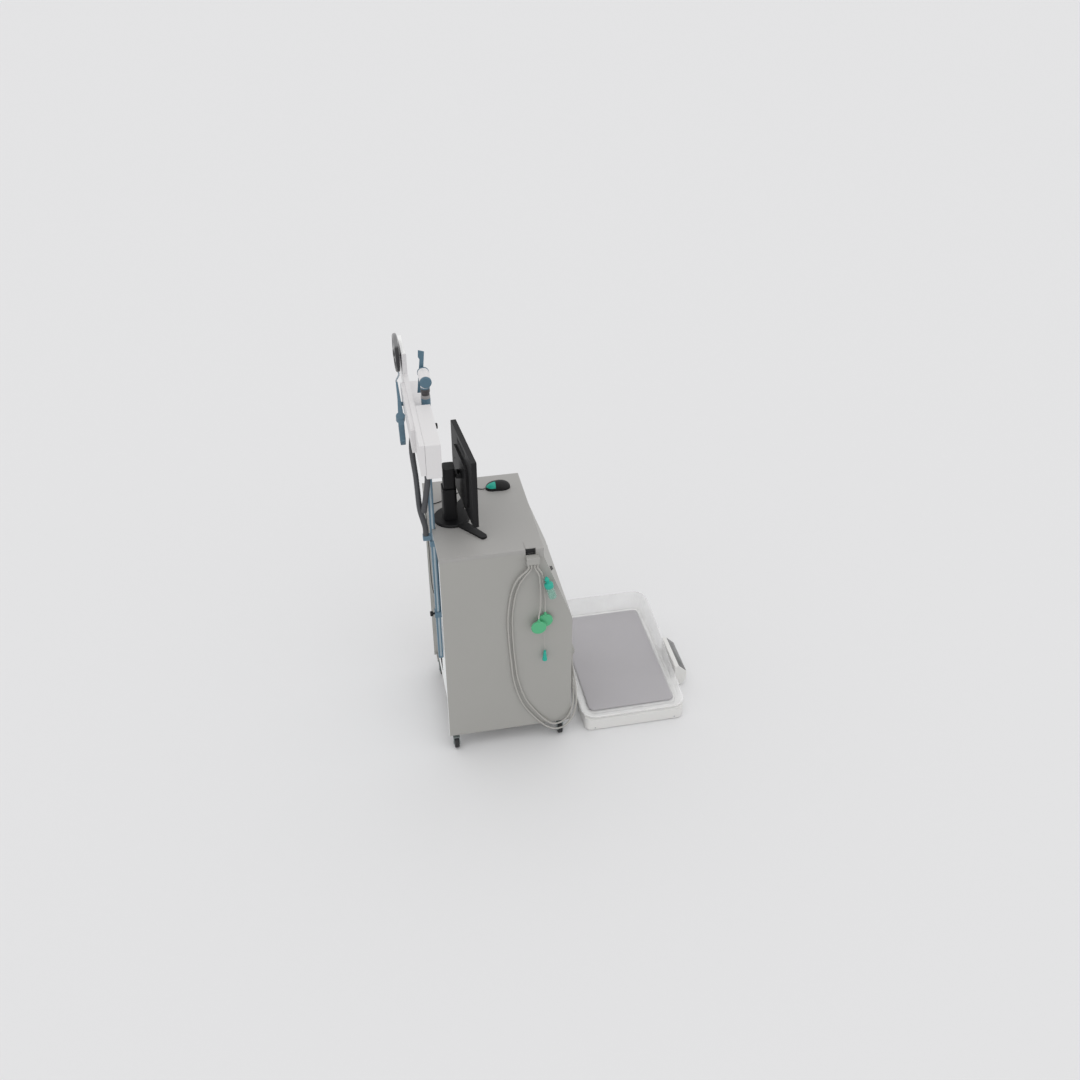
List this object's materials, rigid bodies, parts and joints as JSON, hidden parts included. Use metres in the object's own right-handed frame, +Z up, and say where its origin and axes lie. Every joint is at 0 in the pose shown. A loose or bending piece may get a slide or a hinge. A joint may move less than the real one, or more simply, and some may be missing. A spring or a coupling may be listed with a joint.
{
  "type": "medical diagnostic cart",
  "caption": "Wheeled grey cabinet cart with a monitor, mouse, mast arm carrying a flow tube and masked handpiece, side tubes with filters, and a low tray scale beside it.",
  "frame": {"origin": "centre of the whole box, without the cords, on the floor", "axes": "+Z up, -Y towards the user and the scale, +X to the user's right"},
  "size_m": [0.92, 1.2812, 1.778],
  "materials": {
    "cabinet_grey": "satin",
    "back_white": "satin",
    "unit_case": "satin",
    "module_case": "satin",
    "caster_grey": "satin",
    "wheel_black": "matte",
    "mast_blue": "satin",
    "dark_plastic": "satin",
    "arm_white": "satin",
    "slate_blue": "satin",
    "mask_black": "satin",
    "mask_grey": "gloss",
    "clear_tube": "gloss",
    "hose_grey": "matte",
    "monitor_black": "satin",
    "mouse_black": "satin",
    "teal": "satin",
    "tube_beige": "matte",
    "filter_green": "satin",
    "clear_cup": "gloss",
    "scale_white": "satin",
    "tray_white": "gloss",
    "mat_grey": "matte"
  },
  "bodies": {
    "cabinet": {"side_panel_left": "cabinet_grey", "side_panel_right": "cabinet_grey", "worktop": "cabinet_grey", "bottom_panel": "cabinet_grey", "console_panel": "cabinet_grey", "front_frame": "cabinet_grey", "back_panel": "back_white", "computer_unit": "unit_case", "analyser_module": "module_case", "mast_bracket": "mast_blue", "hose_holder": "cabinet_grey", "trap_head": "teal", "monitor_base": "monitor_black", "long_tube_outer": "tube_beige", "long_tube_inner": "tube_beige", "short_tube_near": "tube_beige", "short_tube_far": "tube_beige", "filter_disc_near": "filter_green", "filter_disc_far": "filter_green", "sampling_line": "tube_beige", "line_connector": "teal", "mouse_cable": "mouse_black"},
    "door": {"front_door": "cabinet_grey"},
    "console_knob": {"console_knob": "dark_plastic"},
    "swivel_rear_left": {"caster_fork_rear_left": "caster_grey"},
    "wheel_rear_left": {"caster_wheel_rear_left": "wheel_black"},
    "swivel_rear_right": {"caster_fork_rear_right": "caster_grey"},
    "wheel_rear_right": {"caster_wheel_rear_right": "wheel_black"},
    "swivel_front_left": {"caster_fork_front_left": "caster_grey"},
    "wheel_front_left": {"caster_wheel_front_left": "wheel_black"},
    "swivel_front_right": {"caster_fork_front_right": "caster_grey"},
    "wheel_front_right": {"caster_wheel_front_right": "wheel_black"},
    "mast": {"mast": "mast_blue"},
    "mast_knob": {"mast_knob": "dark_plastic"},
    "arm": {"arm_housing": "arm_white", "arm_rail": "arm_white", "swivel_socket": "slate_blue", "patient_hose": "hose_grey", "branch_hose": "hose_grey"},
    "arm_button": {"arm_button": "dark_plastic"},
    "flow_head": {"flow_tube": "arm_white", "tube_cap_near": "slate_blue", "tube_cap_far": "slate_blue"},
    "shutter_lever": {"shutter_lever": "slate_blue"},
    "handpiece": {"handpiece": "slate_blue", "mask_cushion": "mask_black", "mask_dome": "mask_grey", "mask_stem": "clear_tube"},
    "monitor_column": {"stand_sleeve": "monitor_black"},
    "monitor_slider": {"stand_slider": "monitor_black"},
    "monitor_head": {"monitor_back": "monitor_black", "monitor_front": "monitor_black"},
    "mouse": {"mouse_shell": "mouse_black"},
    "mouse_left": {"mouse_left_button": "teal"},
    "mouse_right": {"mouse_right_button": "mouse_black"},
    "trap_cup": {"trap_cup": "clear_cup"},
    "scale": {"scale_base": "scale_white", "display_housing": "scale_white"},
    "tray": {"scale_tray": "tray_white", "tray_mat": "mat_grey"}
  },
  "joints": [
    {"name": "door_swing", "type": "hinge", "parent": "cabinet", "child": "door", "pos_m": [0.174, -0.0222, 0.497], "axis": [0, 0, 1], "range_deg": [0, 110]},
    {"name": "console_knob_turn", "type": "hinge", "parent": "cabinet", "child": "console_knob", "pos_m": [-0.351, 0.07109, 0.936], "axis": [0, -0.94, 0.3411], "range_deg": [-140, 140]},
    {"name": "caster_swivel_rear_left", "type": "hinge", "parent": "cabinet", "child": "swivel_rear_left", "pos_m": [-0.363, 0.5156, 0.07], "axis": [0, 0, 1], "continuous": true},
    {"name": "caster_roll_rear_left", "type": "hinge", "parent": "swivel_rear_left", "child": "wheel_rear_left", "pos_m": [-0.387, 0.5156, 0.0275], "axis": [0, 1, 0], "continuous": true},
    {"name": "caster_swivel_rear_right", "type": "hinge", "parent": "cabinet", "child": "swivel_rear_right", "pos_m": [0.145, 0.5156, 0.07], "axis": [0, 0, 1], "continuous": true},
    {"name": "caster_roll_rear_right", "type": "hinge", "parent": "swivel_rear_right", "child": "wheel_rear_right", "pos_m": [0.121, 0.5156, 0.0275], "axis": [0, 1, 0], "continuous": true},
    {"name": "caster_swivel_front_left", "type": "hinge", "parent": "cabinet", "child": "swivel_front_left", "pos_m": [-0.363, 0.0316, 0.07], "axis": [0, 0, 1], "continuous": true},
    {"name": "caster_roll_front_left", "type": "hinge", "parent": "swivel_front_left", "child": "wheel_front_left", "pos_m": [-0.387, 0.0316, 0.0275], "axis": [0, 1, 0], "continuous": true},
    {"name": "caster_swivel_front_right", "type": "hinge", "parent": "cabinet", "child": "swivel_front_right", "pos_m": [0.145, 0.0316, 0.07], "axis": [0, 0, 1], "continuous": true},
    {"name": "caster_roll_front_right", "type": "hinge", "parent": "swivel_front_right", "child": "wheel_front_right", "pos_m": [0.121, 0.0316, 0.0275], "axis": [0, 1, 0], "continuous": true},
    {"name": "mast_rise", "type": "slide", "parent": "cabinet", "child": "mast", "axis": [0, 0, 1], "range_m": [0, 0.12]},
    {"name": "mast_knob_turn", "type": "hinge", "parent": "cabinet", "child": "mast_knob", "pos_m": [-0.166, 0.5578, 0.62], "axis": [0, 1, 0], "range_deg": [-180, 180]},
    {"name": "arm_swivel", "type": "hinge", "parent": "mast", "child": "arm", "pos_m": [-0.166, 0.5426, 1.43], "axis": [0, 0, 1], "range_deg": [0, 45]},
    {"name": "arm_button_press", "type": "slide", "parent": "arm", "child": "arm_button", "axis": [0, 1, 0], "range_m": [0, 0.002], "stiffness_N_per_m": 200},
    {"name": "flow_tube_swivel", "type": "hinge", "parent": "arm", "child": "flow_head", "pos_m": [0.047, 0.5156, 1.681], "axis": [0, 0, 1], "range_deg": [-60, 60]},
    {"name": "shutter_lever_turn", "type": "hinge", "parent": "flow_head", "child": "shutter_lever", "pos_m": [0.0979, 0.5156, 1.681], "axis": [1, 0, 0], "range_deg": [-30, 30]},
    {"name": "handpiece_lift_off", "type": "slide", "parent": "arm", "child": "handpiece", "axis": [0, 1, 0], "range_m": [0, 0.1]},
    {"name": "monitor_turn", "type": "hinge", "parent": "cabinet", "child": "monitor_column", "pos_m": [-0.111, 0.4586, 1.0973], "axis": [0, 0, 1], "range_deg": [-20, 20]},
    {"name": "monitor_rise", "type": "slide", "parent": "monitor_column", "child": "monitor_slider", "axis": [0, 0, 1], "range_m": [0, 0.06]},
    {"name": "monitor_tilt", "type": "hinge", "parent": "monitor_slider", "child": "monitor_head", "pos_m": [-0.111, 0.4211, 1.3035], "axis": [-1, 0, 0], "range_deg": [-5, 15]},
    {"name": "mouse_move", "type": "slide", "parent": "cabinet", "child": "mouse", "axis": [1, 0, 0], "range_m": [-0.03, 0.03]},
    {"name": "mouse_left_click", "type": "hinge", "parent": "mouse", "child": "mouse_left", "pos_m": [0.081, 0.2316, 1.1177], "axis": [-1, 0, 0], "range_deg": [0, 1.2], "stiffness_Nm_per_rad": 0.5},
    {"name": "mouse_right_click", "type": "hinge", "parent": "mouse", "child": "mouse_right", "pos_m": [0.081, 0.2316, 1.1177], "axis": [-1, 0, 0], "range_deg": [0, 1.2], "stiffness_Nm_per_rad": 0.5},
    {"name": "trap_cup_unscrew", "type": "hinge", "parent": "cabinet", "child": "trap_cup", "pos_m": [-0.441, 0.09452, 0.90971], "axis": [0, 0.2588, 0.9659], "range_deg": [0, 90]},
    {"name": "scale_move", "type": "slide", "parent": "cabinet", "child": "scale", "axis": [0, -1, 0], "range_m": [0, 0.5]},
    {"name": "tray_lift", "type": "slide", "parent": "scale", "child": "tray", "axis": [0, 0, 1], "range_m": [0, 0.15]}
  ]
}
